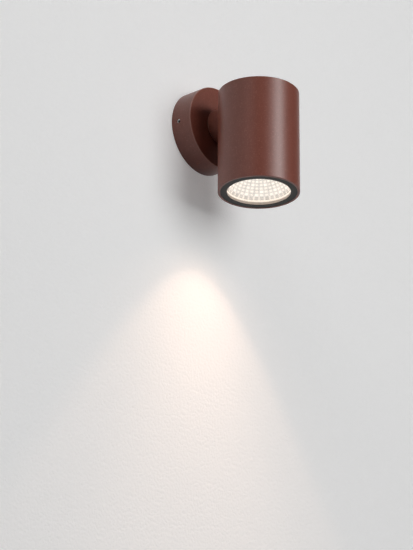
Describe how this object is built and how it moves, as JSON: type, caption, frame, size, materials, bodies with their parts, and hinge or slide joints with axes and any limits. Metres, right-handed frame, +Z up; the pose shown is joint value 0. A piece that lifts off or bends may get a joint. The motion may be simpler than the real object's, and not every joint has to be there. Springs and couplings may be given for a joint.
{
  "type": "outdoor wall light",
  "caption": "Cylindrical downlight head on a round neck that swivels on a round wall base, with a faceted reflector behind a clear glass in a dark bezel.",
  "frame": {"origin": "centre of the wall bracket's back face, on the wall and on the swivel axis", "axes": "+Y into the wall along the swivel axis, +Z up, +X to the right of someone facing the wall"},
  "size_m": [0.085, 0.1165, 0.1275],
  "materials": {
    "rust_coat": "satin rust-brown powder coat with a fine grain",
    "dark_coat": "satin dark grey",
    "bracket_steel": "zinc plated sheet",
    "zinc_steel": "zinc plated",
    "stainless_steel": "turned stainless",
    "earth_brass": "plain",
    "black_rubber": "matte",
    "pale_silicone": "translucent pale silicone",
    "acetal": "black acetal",
    "white_plastic": "white moulded",
    "sink_aluminium": "plain",
    "phosphor": "lit warm white",
    "reflector_metal": "bright metallised facets",
    "clear_glass": "clear polished",
    "driver_case": "moulded",
    "lead_sheath": "black sheath",
    "core_insulation": "single insulation"
  },
  "bodies": {
    "base": {"base_shell": "rust_coat", "wall_gasket": "black_rubber", "wall_bracket": "bracket_steel", "grub_screws": "stainless_steel", "cable_grommet": "black_rubber", "terminal_block": "white_plastic", "terminal_screws": "stainless_steel", "terminal_fixing_screw": "stainless_steel", "earth_screw": "earth_brass", "swivel_bush": "acetal", "friction_washer": "acetal", "stop_pin": "zinc_steel", "base_lead": "lead_sheath", "lead_cores": "core_insulation"},
    "head": {"neck": "rust_coat", "head_housing": "rust_coat", "bezel": "dark_coat", "spindle": "zinc_steel", "swivel_nut": "zinc_steel", "head_nut": "zinc_steel", "stop_washer": "zinc_steel", "spring_washer": "zinc_steel", "saddle_washer": "zinc_steel", "neck_screws": "stainless_steel", "heat_sink_screws": "stainless_steel", "holder_screws": "stainless_steel", "driver_screws": "stainless_steel", "neck_seal": "black_rubber", "lens_gasket": "pale_silicone", "led_holder": "white_plastic", "heat_sink": "sink_aluminium", "led_board": "sink_aluminium", "led_emitter": "phosphor", "reflector": "reflector_metal", "front_glass": "clear_glass", "led_driver": "driver_case", "head_lead": "lead_sheath", "led_wires": "core_insulation"}
  },
  "joints": [
    {"name": "head_swivel", "type": "hinge", "parent": "base", "child": "head", "pos_m": [0, 0, 0], "axis": [0, 1, 0], "range_deg": [-165, 165]}
  ]
}
